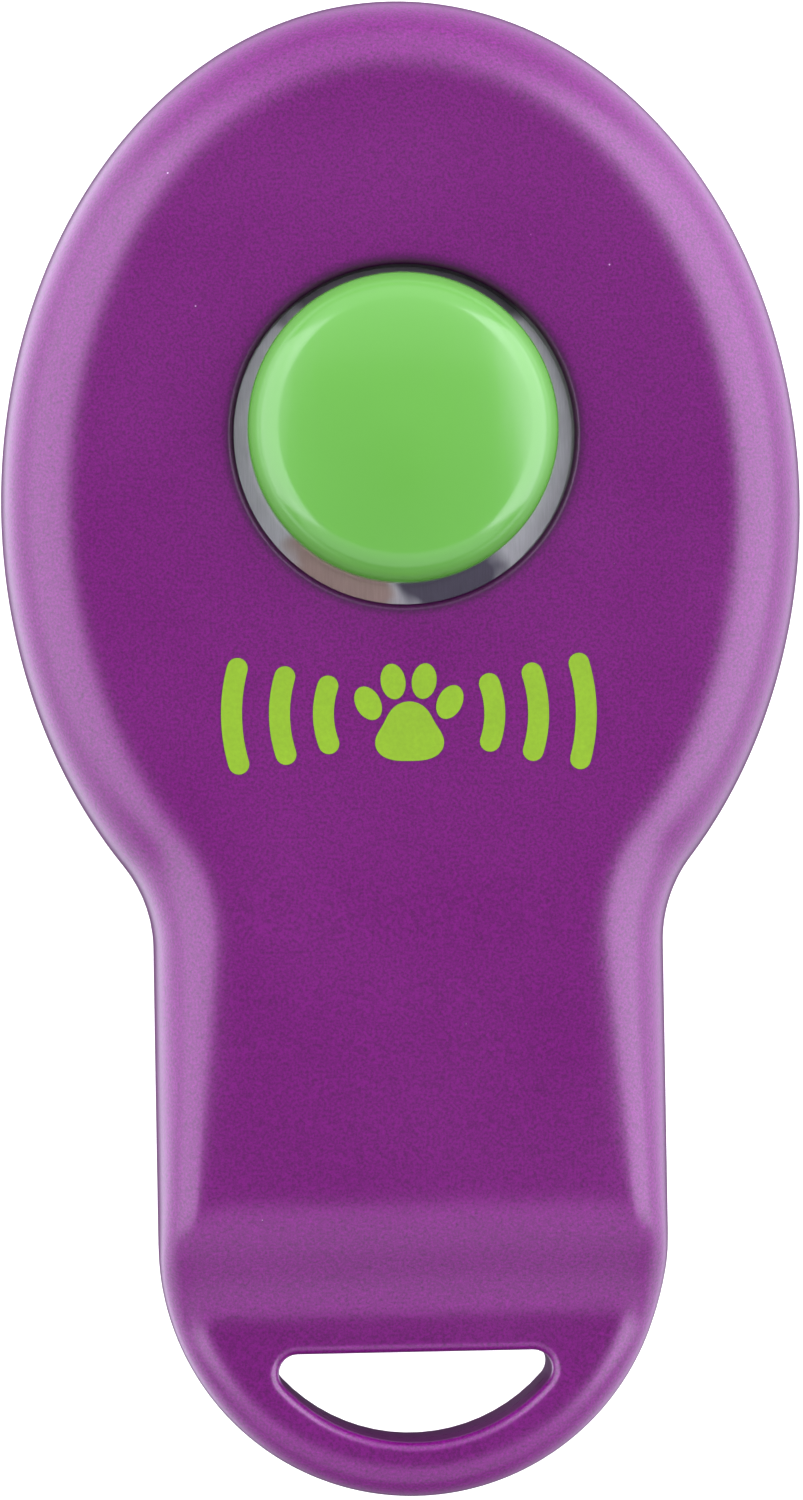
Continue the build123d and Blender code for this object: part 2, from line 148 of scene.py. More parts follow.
# =====================================================================================================
# Shader helpers
# =====================================================================================================
class Graph:
    """A material's node tree with a Principled shader, built in short lines."""

    def __init__(self, name, roughness, metallic=0.0, ior=1.5):
        self.material = bpy.data.materials.new(name)
        self.material.use_nodes = True
        self.tree = self.material.node_tree
        self.shader = self.tree.nodes["Principled BSDF"]
        self.set("Roughness", roughness)
        self.set("Metallic", metallic)
        self.set("IOR", ior)
        self.place = self.node("ShaderNodeTexCoord").outputs["Object"]

    def set(self, name, value):
        """Give one of the shader's inputs a value or a socket."""
        self.feed(self.shader.inputs[name], value)

    def feed(self, socket, value):
        if isinstance(value, bpy.types.NodeSocket):
            self.tree.links.new(value, socket)
        else:
            socket.default_value = value

    @staticmethod
    def colour(value):
        """A colour socket as it is, or three numbers with full opacity."""
        return value if isinstance(value, bpy.types.NodeSocket) else (*value, 1.0)

    def node(self, kind, inputs=(), **settings):
        made = self.tree.nodes.new(kind)
        for name, value in settings.items():
            setattr(made, name, value)
        for name, value in dict(inputs).items():
            self.feed(made.inputs[name], value)
        return made

    def noise(self, size, detail=2.0, rough=0.5, stretch=(1.0, 1.0, 1.0)):
        """Noise from 0 to 1 whose grains are about size millimetres across."""
        source = self.place
        if stretch != (1.0, 1.0, 1.0):
            source = self.vector("MULTIPLY", source, stretch)
        inputs = {"Vector": source, "Scale": 1.0 / (size * MM), "Detail": detail, "Roughness": rough}
        return self.node("ShaderNodeTexNoise", inputs).outputs["Fac"]

    def remap(self, value, low, high, to_low, to_high, smooth=False):
        """Carry value from the range low to high over to another range."""
        names = ("Value", "From Min", "From Max", "To Min", "To Max")
        inputs = dict(zip(names, (value, low, high, to_low, to_high)))
        kind = "SMOOTHSTEP" if smooth else "LINEAR"
        return self.node("ShaderNodeMapRange", inputs, interpolation_type=kind).outputs["Result"]

    def math(self, operation, first, second=0.0):
        return self.node("ShaderNodeMath", {0: first, 1: second}, operation=operation).outputs[0]

    def vector(self, operation, first, second):
        return self.node("ShaderNodeVectorMath", {0: first, 1: second}, operation=operation).outputs["Vector"]

    def slant(self):
        """0 where the surface is level, 1 where it is upright."""
        normal = self.node("ShaderNodeTexCoord").outputs["Normal"]
        upright = self.node("ShaderNodeSeparateXYZ", {0: normal}).outputs["Z"]
        return self.math("SUBTRACT", 1.0, self.math("ABSOLUTE", upright))

    def tone(self, *factors):
        """The product of several factors."""
        product = factors[0]
        for factor in factors[1:]:
            product = self.math("MULTIPLY", product, factor)
        return product

    def mix(self, share, first, second):
        """Mix two colours."""
        made = self.node("ShaderNodeMix", data_type="RGBA")
        self.feed(made.inputs["Factor"], share)
        for socket, colour in ((made.inputs[6], first), (made.inputs[7], second)):
            self.feed(socket, self.colour(colour))
        return made.outputs[2]

    def shade(self, colour, value):
        """Brighten or darken a colour by a factor."""
        inputs = {"Color": self.colour(colour), "Value": value}
        return self.node("ShaderNodeHueSaturation", inputs).outputs[0]

    def dots(self, cell, radius, share):
        """Sparse round specks: one cell in several holds one. 1 inside a speck, 0 outside."""
        inputs = {"Vector": self.place, "Scale": 1.0 / (cell * MM), "Randomness": 1.0}
        cells = self.node("ShaderNodeTexVoronoi", inputs, feature="F1").outputs
        near = self.remap(cells["Distance"], radius / cell * 0.6, radius / cell, 1.0, 0.0, True)
        red = self.node("ShaderNodeSeparateColor", {"Color": cells["Color"]}).outputs[0]
        return self.math("MULTIPLY", near, self.math("LESS_THAN", red, share))

    def bump(self, height, depth, strength=1.0, normal=None):
        """Tilt the surface by a height from 0 to 1 that stands for depth millimetres."""
        made = self.node("ShaderNodeBump", {"Height": height, "Distance": depth * MM, "Strength": strength})
        if normal is not None:
            self.feed(made.inputs["Normal"], normal)
        return made.outputs["Normal"]


BUTTON_MIDDLE = (0.0, BUTTON_Y * MM, 0.0)
GRAIN = 0.14  # the housing's spark grain
SPECK_CELL = 1.3  # dust specks lie in a share of the cells of this size
SPECK_RADIUS = 0.055
SPECK_SHARE = 0.05


def moulded(name, colour, roughness, grain, grain_depth, speck, edge=1.0, rim=1.0):
    """Spark-textured moulded plastic: fine grain, slow changes of shade, a few dust specks.

    edge brightens the colour on slopes as painted light, and rim scales it on the steepest ones, darkening
    them as painted shade where rim is below 1.
    The edge of the button's opening is darkened as painted shade.
    """
    g = Graph(name, roughness)
    fine = g.noise(grain, 2.0, 0.6)
    slow = g.noise(9.0, 2.0, 0.5)
    slant = g.slant()
    across = g.vector("MULTIPLY", g.vector("SUBTRACT", g.place, BUTTON_MIDDLE), (1.0, 1.0, 0.0))
    away = g.node("ShaderNodeVectorMath", {0: across}, operation="LENGTH").outputs["Value"]
    tone = g.tone(
        g.remap(fine, 0.25, 0.75, 0.52, 1.48),
        g.remap(slow, 0.3, 0.7, 0.96, 1.04),
        # painted light on slopes, and painted shade on the steepest ones where rim is below 1
        g.remap(slant, 0.0, 0.055, 1.0, edge, True),
        g.remap(slant, 0.5, 0.75, 1.0, rim, True),
        # painted shade: darker round the edge of the button's opening
        g.remap(away, (OPENING_RADIUS + 0.1) * MM, (OPENING_RADIUS + 0.75) * MM, 0.3, 1.0, True),
    )
    dust = g.math("MULTIPLY", g.dots(SPECK_CELL, SPECK_RADIUS, SPECK_SHARE), 0.5)
    g.set("Base Color", g.mix(dust, g.shade(colour, tone), speck))
    g.set("Roughness", g.remap(slow, 0.2, 0.8, roughness - 0.03, roughness + 0.03))
    g.set("Normal", g.bump(fine, grain_depth, 1.0, g.bump(g.noise(1.6, 2.0), 0.006, 1.0)))
    return g.material


def polished_plastic(name, colour, roughness, edge):
    """Glossy moulded plastic with fine handling marks, its colour brightened on slopes as painted light."""
    g = Graph(name, roughness)
    slow = g.noise(5.0, 2.0)
    # edge brightens the colour on slopes: painted light
    tone = g.tone(g.remap(slow, 0.3, 0.7, 0.985, 1.015), g.remap(g.slant(), 0.0, 0.05, 1.0, edge, True))
    g.set("Base Color", g.shade(colour, tone))
    rub = g.noise(0.35, 3.0, 0.6, (1.0, 0.12, 1.0))
    g.set("Roughness", g.remap(rub, 0.45, 0.75, roughness, roughness + 0.07))
    wave = g.bump(g.noise(3.5, 2.0), 0.006, 1.0)
    g.set("Normal", g.bump(g.noise(0.25, 2.0), 0.00035, 1.0, wave))
    return g.material


def zinc_plated(name, colour, roughness):
    """Plated steel with fine scratches and a faint tarnish."""
    g = Graph(name, roughness, metallic=1.0)
    scratch = g.noise(0.06, 3.0, 0.6)
    tarnish = g.noise(1.8, 3.0, 0.6)
    tone = g.tone(g.remap(scratch, 0.35, 0.65, 0.93, 1.05), g.remap(tarnish, 0.35, 0.7, 1.02, 0.9))
    g.set("Base Color", g.shade(colour, tone))
    g.set("Roughness", g.remap(tarnish, 0.3, 0.7, roughness, roughness + 0.1))
    g.set("Normal", g.bump(scratch, 0.0006, 1.0))
    return g.material


DISC_MIDDLE = ((DISC_LOW.x + DISC_HIGH.x) / 2 * MM, (DISC_LOW.y + DISC_HIGH.y) / 2 * MM, 0.0)
# Painted reflections and painted shade round the snap disc's ring: middle and half width in degrees from +X,
# colour
PAINTED_REFLECTION_AND_SHADE = [
    (-116.0, 24.0, (0.70, 0.50, 0.42)),
    (-74.0, 22.0, (0.19, 0.17, 0.22)),
    (88.0, 50.0, (0.22, 0.20, 0.22)),
]
PAINTED_PATCH_FADE = 9.0  # degrees over which a painted patch fades out


def steel_with_painted_patches(name, colour, roughness):
    """Spring steel with fine scratches and a faint cloudy tone, with painted reflections and painted shade in
    patches round its rim.
    """
    g = Graph(name, roughness, metallic=0.72)
    from_centre = g.vector("SUBTRACT", g.place, DISC_MIDDLE)
    split = g.node("ShaderNodeSeparateXYZ", {0: from_centre}).outputs
    cloud = g.noise(1.6, 1.0, 0.4)
    turn = g.math("ARCTAN2", split["Y"], split["X"])
    turn = g.math("ADD", turn, g.remap(cloud, 0.3, 0.7, -0.1, 0.1))
    tinted = colour
    # mix in each painted reflection and each patch of painted shade
    for middle, half, tint in PAINTED_REFLECTION_AND_SHADE:
        away = g.math("ABSOLUTE", g.math("SUBTRACT", turn, math.radians(middle)))
        share = g.remap(away, math.radians(half - PAINTED_PATCH_FADE), math.radians(half), 1.0, 0.0, True)
        tinted = g.mix(share, tinted, tint)
    scratch = g.noise(0.06, 3.0, 0.6, (1.0, 0.06, 1.0))
    tone = g.tone(g.remap(scratch, 0.35, 0.65, 0.93, 1.05), g.remap(cloud, 0.3, 0.7, 1.04, 0.94))
    g.set("Base Color", g.shade(tinted, tone))
    g.set("Roughness", g.remap(cloud, 0.3, 0.7, roughness, roughness + 0.06))
    g.set("Normal", g.bump(scratch, 0.0006, 1.0))
    return g.material


RIB_PITCH = 0.9
PICK_PITCH = 0.55


def woven(name, colour, fleck):
    """Flat elastic webbing: ribs along Y with a short weave across them."""
    g = Graph(name, 0.75)
    split = g.node("ShaderNodeSeparateXYZ", {0: g.place}).outputs
    pick = g.math("SINE", g.math("MULTIPLY", split["Y"], 2 * math.pi / (PICK_PITCH * MM)))
    end = g.math("SINE", g.math("MULTIPLY", split["X"], 2 * math.pi / (RIB_PITCH * MM)))
    height = g.remap(g.math("MULTIPLY", pick, end), -1.0, 1.0, 0.0, 1.0)
    fibre = g.noise(0.08, 3.0, 0.7, (1.0, 0.3, 1.0))
    # the weave's low parts are darkened and its raised parts lightened: painted shade and painted light
    tone = g.tone(g.remap(height, 0.0, 1.0, 0.65, 1.2), g.remap(fibre, 0.3, 0.7, 0.8, 1.25))
    g.set("Base Color", g.mix(g.remap(fibre, 0.62, 0.75, 0.0, 0.5), g.shade(colour, tone), fleck))
    g.set("Sheen Weight", 0.08)
    g.set("Normal", g.bump(fibre, 0.03, 0.8, g.bump(height, 0.08, 1.0)))
    return g.material


def ink(name, colour):
    """Pad-printed ink: a slightly uneven satin film."""
    g = Graph(name, 0.38)
    film = g.noise(0.22, 3.0, 0.6)
    slow = g.noise(1.6, 2.0)
    tone = g.tone(g.remap(film, 0.3, 0.7, 0.93, 1.07), g.remap(slow, 0.3, 0.7, 0.96, 1.04))
    g.set("Base Color", g.shade(colour, tone))
    g.set("Normal", g.bump(film, 0.003, 1.0))
    return g.material


PURPLE = (0.0670, 0.0006, 0.0605)
PALE_PURPLE = (0.5, 0.4, 0.5)
GREEN = (0.066, 0.205, 0.029)
LIME = (0.11, 0.2, 0.003)
BLACK = (0.012, 0.012, 0.013)
GREY = (0.2, 0.2, 0.2)

MATERIALS = {
    # edge and rim: painted light on slopes and painted shade on upright walls
    "housing": moulded("purple_plastic", PURPLE, 0.31, GRAIN, 0.006, PALE_PURPLE, edge=1.42, rim=0.6),
    "button": polished_plastic("green_plastic", GREEN, 0.17, edge=1.07),
    "inner_plastic": moulded("black_plastic", BLACK, 0.5, 0.3, 0.004, GREY),
    "screw_steel": zinc_plated("zinc_plated_steel", (0.55, 0.56, 0.58), 0.32),
    "spring_steel": steel_with_painted_patches("spring_steel", (0.98, 0.97, 0.96), 0.20),
    "webbing": woven("black_elastic", (0.008, 0.008, 0.009), (0.03, 0.03, 0.033)),
    "print_ink": ink("lime_ink", LIME),
}


# =====================================================================================================
# Mesh helpers, in millimetres
# =====================================================================================================
def give_material(obj, slot):
    obj.data.materials.clear()
    obj.data.materials.append(MATERIALS[slot])


def loose_object(name, mesh):
    """An object of a bmesh, which is freed."""
    data = bpy.data.meshes.new(name)
    mesh.to_mesh(data)
    mesh.free()
    obj = bpy.data.objects.new(name, data)
    bpy.context.scene.collection.objects.link(obj)
    return obj


def finish_piece(name, mesh, slot, body, sharp=32.0):
    """A bmesh in millimetres becomes an object in metres, smooth apart from edges of over sharp degrees."""
    bmesh.ops.recalc_face_normals(mesh, faces=mesh.faces)
    limit = math.radians(sharp)
    for edge in mesh.edges:
        edge.smooth = not edge.is_manifold or edge.calc_face_angle(0.0) < limit
    for face in mesh.faces:
        face.smooth = True
    bmesh.ops.scale(mesh, vec=(MM, MM, MM), verts=mesh.verts)
    obj = loose_object(name, mesh)
    give_material(obj, slot)
    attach(obj, body)
    return obj


def lathe(mesh, profile, centre, turns=160):
    """A closed (radius, z) profile turned about an upright axis."""
    rings = []
    for radius, z in profile:
        ring = []
        for k in range(turns):
            angle = 2 * math.pi * k / turns
            x = centre[0] + radius * math.cos(angle)
            ring.append(mesh.verts.new((x, centre[1] + radius * math.sin(angle), z)))
        rings.append(ring)
    for number, ring in enumerate(rings):
        bridge(mesh, ring, rings[(number + 1) % len(rings)])
    return mesh


def arc(centre, radius, start, end, steps):
    """Points of an arc in a plane, angles in degrees, both ends included."""
    points = []
    for k in range(steps + 1):
        angle = math.radians(start + (end - start) * k / steps)
        points.append((centre[0] + radius * math.cos(angle), centre[1] + radius * math.sin(angle)))
    return points


def smooth_min(a, b, blend):
    """The smaller of two values, eased where they are nearer to each other than blend."""
    near = max(blend - abs(a - b), 0.0) / blend
    return min(a, b) - near * near * blend / 4


def smooth_step(value):
    """0 below 0, 1 above 1, and an even curve between."""
    value = min(max(value, 0.0), 1.0)
    return value * value * (3 - 2 * value)


def bridge(mesh, first, second):
    """Faces between two closed rings of vertices of the same length."""
    count = len(first)
    for k in range(count):
        after = (k + 1) % count
        mesh.faces.new((first[k], first[after], second[after], second[k]))


def inside(point, loop):
    """Whether a point lies inside a closed loop of points."""
    x, y = point
    found = False
    for k, (x1, y1) in enumerate(loop):
        x2, y2 = loop[k - 1]
        if (y1 > y) != (y2 > y) and x < (x2 - x1) * (y - y1) / (y2 - y1) + x1:
            found = not found
    return found


def fill(mesh, loops, spread, height):
    """Triangles inside the first loop of vertices and outside the others, with spread as extra points."""
    corners = [vertex for loop in loops for vertex in loop]
    flat = [Vector((v.co.x, v.co.y)) for v in corners] + [Vector(p) for p in spread]
    edges = []
    start = 0
    for loop in loops:
        count = len(loop)
        edges += [(start + k, start + (k + 1) % count) for k in range(count)]
        start += count
    points, _, faces, origins, _, _ = delaunay_2d_cdt(flat, edges, [], 1, 1e-6)
    made = []
    for point, origin in zip(points, origins):
        if origin and min(origin) < len(corners):
            made.append(corners[min(origin)])
        else:
            made.append(mesh.verts.new((point.x, point.y, height(point.x, point.y))))
    holes = [[(v.co.x, v.co.y) for v in loop] for loop in loops[1:]]
    for face in faces:
        middle = sum((points[k] for k in face), Vector((0.0, 0.0))) / len(face)
        if not any(inside(middle, hole) for hole in holes):
            mesh.faces.new([made[k] for k in face])


# =====================================================================================================
# Case, upper half
# =====================================================================================================
def case_outline():
    """Points of the case outline with their outward directions, anticlockwise."""
    def head(angle):
        across, along = math.cos(angle) / HEAD_HALF_WIDTH, math.sin(angle) / HEAD_HALF_LENGTH
        size = math.hypot(across, along)
        place = (HEAD_HALF_WIDTH * math.cos(angle), HEAD_Y + HEAD_HALF_LENGTH * math.sin(angle))
        return place, (across / size, along / size)

    low, high = -math.pi / 2, 0.0  # the angle at which the neck's arc touches the head lies between
    for _ in range(60):
        middle = (low + high) / 2
        place, out = head(middle)
        if place[0] + NECK_RADIUS * out[0] > TAIL_RADIUS + NECK_RADIUS:
            high = middle
        else:
            low = middle
    place, out = head(low)
    neck = (TAIL_RADIUS + NECK_RADIUS, place[1] + NECK_RADIUS * out[1])
    half = []
    steps = 150
    for k in range(steps):
        (x, y), (out_x, out_y) = head(math.pi / 2 + (low - math.pi / 2) * k / steps)
        half.append((x, y, out_x, out_y))
    start = math.degrees(math.atan2(-out[1], -out[0]))
    for x, y in arc(neck, NECK_RADIUS, start, 180.0, 18)[:-1]:
        half.append((x, y, (neck[0] - x) / NECK_RADIUS, (neck[1] - y) / NECK_RADIUS))
    steps = 36
    for k in range(steps):
        half.append((TAIL_RADIUS, neck[1] + (TAIL_Y - neck[1]) * k / steps, 1.0, 0.0))
    for x, y in arc((0.0, TAIL_Y), TAIL_RADIUS, 0.0, -90.0, 50):
        half.append((x, y, x / TAIL_RADIUS, (y - TAIL_Y) / TAIL_RADIUS))
    half.reverse()
    return half + [(-x, y, -out_x, out_y) for x, y, out_x, out_y in half[-2:0:-1]]


OUTLINE = case_outline()


def profile_z(y):
    """Height of the middle of the upper surface."""
    ramp = HEAD_TOP_Z + (y - RAMP_TOP_Y) * (HEAD_TOP_Z - RAMP_END_Z) / (RAMP_TOP_Y - RAMP_END_Y)
    step = RAMP_END_Z + (y - RAMP_END_Y) * (RAMP_END_Z - TAIL_TOP_Z) / (RAMP_END_Y - STEP_END_Y)
    return -smooth_min(-smooth_min(ramp, step, STEP_BLEND), -TAIL_TOP_Z, FOOT_BLEND)


def rounded(top, width, drop, depth):
    """Height of an edge round, a quarter of an ellipse, at a depth inwards from the outline."""
    left = 1.0 - min(depth / width, 1.0)
    return top - drop + drop * math.sqrt(1.0 - left * left)


def surface_z(y, depth):
    """Height of the upper surface at a distance inwards from the outline."""
    head = rounded(HEAD_TOP_Z, TOP_ROUND, TOP_ROUND, depth)
    tail = rounded(profile_z(y), TAIL_ROUND, TAIL_DROP, depth)
    return smooth_min(head, tail, CREASE_BLEND)


def slot_loop(grow, steps=(26, 9, 40)):
    """The lanyard slot's outline, grown by some millimetres, clockwise from its straight side's left end."""
    middle = (0.0, SLOT_FAR_Y + SLOT_ARC_RADIUS)
    corner_y = SLOT_NEAR_Y - SLOT_CORNER
    drop = corner_y - middle[1]
    corner_x = math.sqrt((SLOT_ARC_RADIUS - SLOT_CORNER) ** 2 - drop**2)
    straight, corner, far = steps
    points = []
    for k in range(straight):
        points.append((-corner_x + 2 * corner_x * k / straight, SLOT_NEAR_Y + grow))
    turned = math.degrees(math.atan2(drop, corner_x))
    points += arc((corner_x, corner_y), SLOT_CORNER + grow, 90.0, turned, corner)[:-1]
    points += arc(middle, SLOT_ARC_RADIUS + grow, turned, -180.0 - turned, far)[:-1]
    points += arc((-corner_x, corner_y), SLOT_CORNER + grow, -180.0 - turned, -270.0, corner)[:-1]
    return points


def ring_of(mesh, points, z):
    return [mesh.verts.new((x, y, z if not callable(z) else z(x, y))) for x, y in points]


def circle_points(x, y, radius, count):
    return arc((x, y), radius, 0.0, 360.0, count)[:-1]


def lip(mesh, loop_at, edge, steps, top):
    """A rounded edge from the upper surface down into an opening; returns its first and last ring."""
    rings = []
    for k in range(steps + 1):
        angle = math.radians(90.0 * k / steps)
        grow = edge * (1 - math.sin(angle))
        drop = edge * (1 - math.cos(angle))
        rings.append(ring_of(mesh, loop_at(grow), top - drop))
    for first, second in zip(rings, rings[1:]):
        bridge(mesh, first, second)
    return rings[0], rings[-1]


def outside_rings(mesh, steps=26):
    """Rings of vertices from the outline inwards over the edge round, the outermost first."""
    rings = []
    for k in range(steps + 1):
        share = 1 - math.cos(math.radians(90.0 * k / steps))
        ring = []
        for x, y, out_x, out_y in OUTLINE:
            head_share = smooth_step((y + 25.0) / 12.0)
            depth = share * (TAIL_ROUND * 1.05 + (TOP_ROUND * 1.02 - TAIL_ROUND * 1.05) * head_share)
            px, py = x - out_x * depth, y - out_y * depth
            ring.append(mesh.verts.new((px, py, surface_z(py, depth))))
        rings.append(ring)
    for first, second in zip(rings, rings[1:]):
        bridge(mesh, first, second)
    return rings


def top_points(edge_loop):
    """Points over the upper surface, closer together on the ramp and the step, clear of the openings."""
    points = []
    y = CASE_LOW.y + 2.2
    while y < CASE_HIGH.y - 4.0:
        fine = -30.3 < y < -11.0
        y += 0.32 if fine else 1.1
        width = 0.9 if fine else 1.2
        x = -24.0 + 0.25 * width
        while x < 24.0:
            x += width
            close = min((x - px) ** 2 + (y - py) ** 2 for px, py in edge_loop[::3]) < 0.5
            in_opening = math.hypot(x, y - BUTTON_Y) < OPENING_RADIUS + OPENING_EDGE + 0.35
            in_slot = abs(x) < 8.4 and SLOT_FAR_Y - 1.2 < y < SLOT_NEAR_Y + SLOT_EDGE + 0.25
            if not close and not in_opening and not in_slot and inside((x, y), edge_loop):
                points.append((x, y))
    return points


def upper_outside():
    """The upper half's outside as a closed solid with the button opening and the slot cut through."""
    mesh = bmesh.new()
    rings = outside_rings(mesh)
    low = PARTING_Z + PARTING_CHAMFER
    wall = rings[0]
    for share in (0.4, 0.8, 1.0):
        lower = [mesh.verts.new((v.co.x, v.co.y, v.co.z + (low - v.co.z) * share)) for v in rings[0]]
        bridge(mesh, lower, wall)
        wall = lower
    rim = []
    for x, y, out_x, out_y in OUTLINE:
        rim.append(mesh.verts.new((x - out_x * PARTING_CHAMFER, y - out_y * PARTING_CHAMFER, PARTING_Z)))
    bridge(mesh, rim, wall)

    def opening(grow):
        return circle_points(0.0, BUTTON_Y, OPENING_RADIUS + grow, 120)

    open_top, open_low = lip(mesh, opening, OPENING_EDGE, 6, HEAD_TOP_Z)
    slot_top, slot_low = lip(mesh, slot_loop, SLOT_EDGE, 8, TAIL_TOP_Z)
    open_base = ring_of(mesh, opening(0.0), PARTING_Z)
    slot_base = ring_of(mesh, slot_loop(0.0), PARTING_Z)
    bridge(mesh, open_low, open_base)
    bridge(mesh, slot_low, slot_base)
    spread = top_points([(v.co.x, v.co.y) for v in rings[-1]])
    fill(mesh, [rings[-1], open_top, slot_top], spread, lambda x, y: surface_z(y, TOP_ROUND * 2))

    peg_y, peg_radius, peg_top = PEG_HOLE
    peg = ring_of(mesh, circle_points(0.0, peg_y, peg_radius, 40), PARTING_Z)
    peg_end = ring_of(mesh, circle_points(0.0, peg_y, peg_radius, 40), peg_top)
    bridge(mesh, peg, peg_end)
    mesh.faces.new(peg_end)
    fill(mesh, [rim, open_base, slot_base, peg], [], lambda x, y: PARTING_Z)
    bmesh.ops.recalc_face_normals(mesh, faces=mesh.faces)
    return mesh


def core(overlap):
    """The space inside the case's skin, grown by an overlap."""
    mesh = bmesh.new()
    inset = CORE_INSET - overlap
    outline = [(x - out_x * inset, y - out_y * inset, out_x, out_y) for x, y, out_x, out_y in OUTLINE]
    ahead = [point for point in outline if point[1] > CORE_END_Y - overlap]
    radius = TOP_ROUND - CORE_INSET
    top = HEAD_TOP_Z - CORE_INSET + overlap
    rings = [ring_of(mesh, [(x, y) for x, y, _, _ in ahead], CORE_LOW_Z - overlap)]
    steps = 8
    for k in range(steps + 1):
        angle = math.radians(90.0 * k / steps)
        depth = radius * (1 - math.cos(angle))
        z = top - radius + radius * math.sin(angle)
        places = [(x - out_x * depth, y - out_y * depth) for x, y, out_x, out_y in ahead]
        rings.append(ring_of(mesh, places, z))
    for first, second in zip(rings, rings[1:]):
        bridge(mesh, first, second)
    mesh.faces.new(rings[0])
    mesh.faces.new(rings[-1])
    bmesh.ops.triangulate(mesh, faces=[f for f in mesh.faces if len(f.verts) > 4])
    bmesh.ops.recalc_face_normals(mesh, faces=mesh.faces)
    return mesh


def combine(first, operation, second):
    """first with a boolean of second applied to it; second is thrown away."""
    change = first.modifiers.new("combine", "BOOLEAN")
    change.operation = operation
    change.solver = "MANIFOLD"
    change.object = second
    depsgraph = bpy.context.evaluated_depsgraph_get()
    result = bpy.data.meshes.new_from_object(first.evaluated_get(depsgraph))
    first.modifiers.clear()
    first.data = result
    bpy.data.objects.remove(second)
    return first


def cad_copy(node):
    """The node's mesh as a closed bmesh in millimetres."""
    mesh = bmesh.new()
    mesh.from_mesh(NODES[node].data)
    bmesh.ops.scale(mesh, vec=(1 / MM, 1 / MM, 1 / MM), verts=mesh.verts)
    bmesh.ops.remove_doubles(mesh, verts=mesh.verts, dist=2e-4)
    return mesh


def build_upper_case():
    """A new outside, joined to the CAD model's own inside."""
    outside = loose_object("outside", upper_outside())
    skin = combine(outside, "DIFFERENCE", loose_object("core", core(0.0)))
    shell = loose_object("inner", cad_copy("top_shell"))
    inner = combine(shell, "INTERSECT", loose_object("core", core(CORE_OVERLAP)))
    whole = combine(skin, "UNION", inner)
    mesh = bmesh.new()
    mesh.from_mesh(whole.data)
    bpy.data.objects.remove(whole)
    piece = finish_piece("upper_case", mesh, "housing", "housing")
    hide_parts("top_shell")


build_upper_case()


# =====================================================================================================
# Button and click disc
# =====================================================================================================
BUTTON_CROWN = 26.0  # radius of the slightly domed top
BUTTON_ROUND = 2.0
BUTTON_WALL = 1.4
BUTTON_INNER_ROUND = 0.4
BUTTON_SKIRT_ROUND = 0.15
AXIS_GAP = 0.02  # radius of the small ring that is closed over the axis


def build_button():
    """The green button: a domed top, a wide edge round and a straight skirt, hollow below."""
    centre = ((CAP_LOW.x + CAP_HIGH.x) / 2, (CAP_LOW.y + CAP_HIGH.y) / 2)
    radius = (CAP_HIGH.x - CAP_LOW.x) / 2
    crown_z = CAP_HIGH.z - BUTTON_CROWN
    bend = radius - BUTTON_ROUND
    slope = math.degrees(math.asin(bend / (BUTTON_CROWN - BUTTON_ROUND)))
    bend_z = crown_z + (BUTTON_CROWN - BUTTON_ROUND) * math.cos(math.radians(slope))
    first = 90.0 - math.degrees(AXIS_GAP / BUTTON_CROWN)
    profile = arc((0.0, crown_z), BUTTON_CROWN, first, 90.0 - slope, 30)[:-1]
    profile += arc((bend, bend_z), BUTTON_ROUND, 90.0 - slope, 0.0, 32)
    foot = (radius - BUTTON_SKIRT_ROUND, CAP_LOW.z + BUTTON_SKIRT_ROUND)
    profile += arc(foot, BUTTON_SKIRT_ROUND, 0.0, -90.0, 4)
    inner = radius - BUTTON_WALL
    ceiling = CAP_HIGH.z - BUTTON_WALL
    profile.append((inner, CAP_LOW.z))
    corner = (inner - BUTTON_INNER_ROUND, ceiling - BUTTON_INNER_ROUND)
    profile += arc(corner, BUTTON_INNER_ROUND, 0.0, 90.0, 4)
    profile.append((AXIS_GAP, ceiling))
    mesh = lathe(bmesh.new(), profile, centre)
    close_axis(mesh, centre, AXIS_GAP)
    piece = finish_piece("button", mesh, "button", "button")
    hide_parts("button_cap")


def close_axis(mesh, centre, reach):
    """Close a lathe's two small rings round the axis and drop the wall between them."""
    near = {v for v in mesh.verts if math.hypot(v.co.x - centre[0], v.co.y - centre[1]) < reach * 1.5}
    walls = [f for f in mesh.faces if all(v in near for v in f.verts)]
    bmesh.ops.delete(mesh, geom=walls, context="FACES_ONLY")
    bmesh.ops.holes_fill(mesh, edges=[e for e in mesh.edges if e.is_boundary], sides=0)


build_button()

DISC_HOLE = 0.9
DISC_RIM = 3.3
DISC_THICKNESS = 0.3


def build_disc():
    """The snap disc: a flat rim, then a shallow dome up to the screw hole."""
    centre = ((DISC_LOW.x + DISC_HIGH.x) / 2, (DISC_LOW.y + DISC_HIGH.y) / 2)
    radius = (DISC_HIGH.x - DISC_LOW.x) / 2
    dome = radius - DISC_RIM
    rim_top = DISC_LOW.z + DISC_THICKNESS
    rise = DISC_HIGH.z - rim_top
    sphere = (dome**2 + rise**2) / (2 * rise)

    def height(r):
        if r >= dome:
            return rim_top
        return rim_top + math.sqrt(sphere**2 - r**2) - (sphere - rise)

    steps = 40
    radii = [DISC_HOLE + (radius - DISC_HOLE) * k / steps for k in range(steps + 1)]
    upper = [(r, height(r)) for r in radii]
    lower = [(r, z - DISC_THICKNESS) for r, z in reversed(upper)]
    mesh = lathe(bmesh.new(), upper + lower, centre)
    piece = finish_piece("snap_disc", mesh, "spring_steel", "housing")
    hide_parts("click_disc")
    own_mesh(piece)


build_disc()


# =====================================================================================================
# Strap
# =====================================================================================================
STRAP_THICKNESS = 1.2
STRAP_RIBS = 9
STRAP_RIB_DEPTH = 0.07
STRAP_BEND = 1.0  # radius of the bend where the strap comes out of its slot
PIN_RADIUS = 0.8


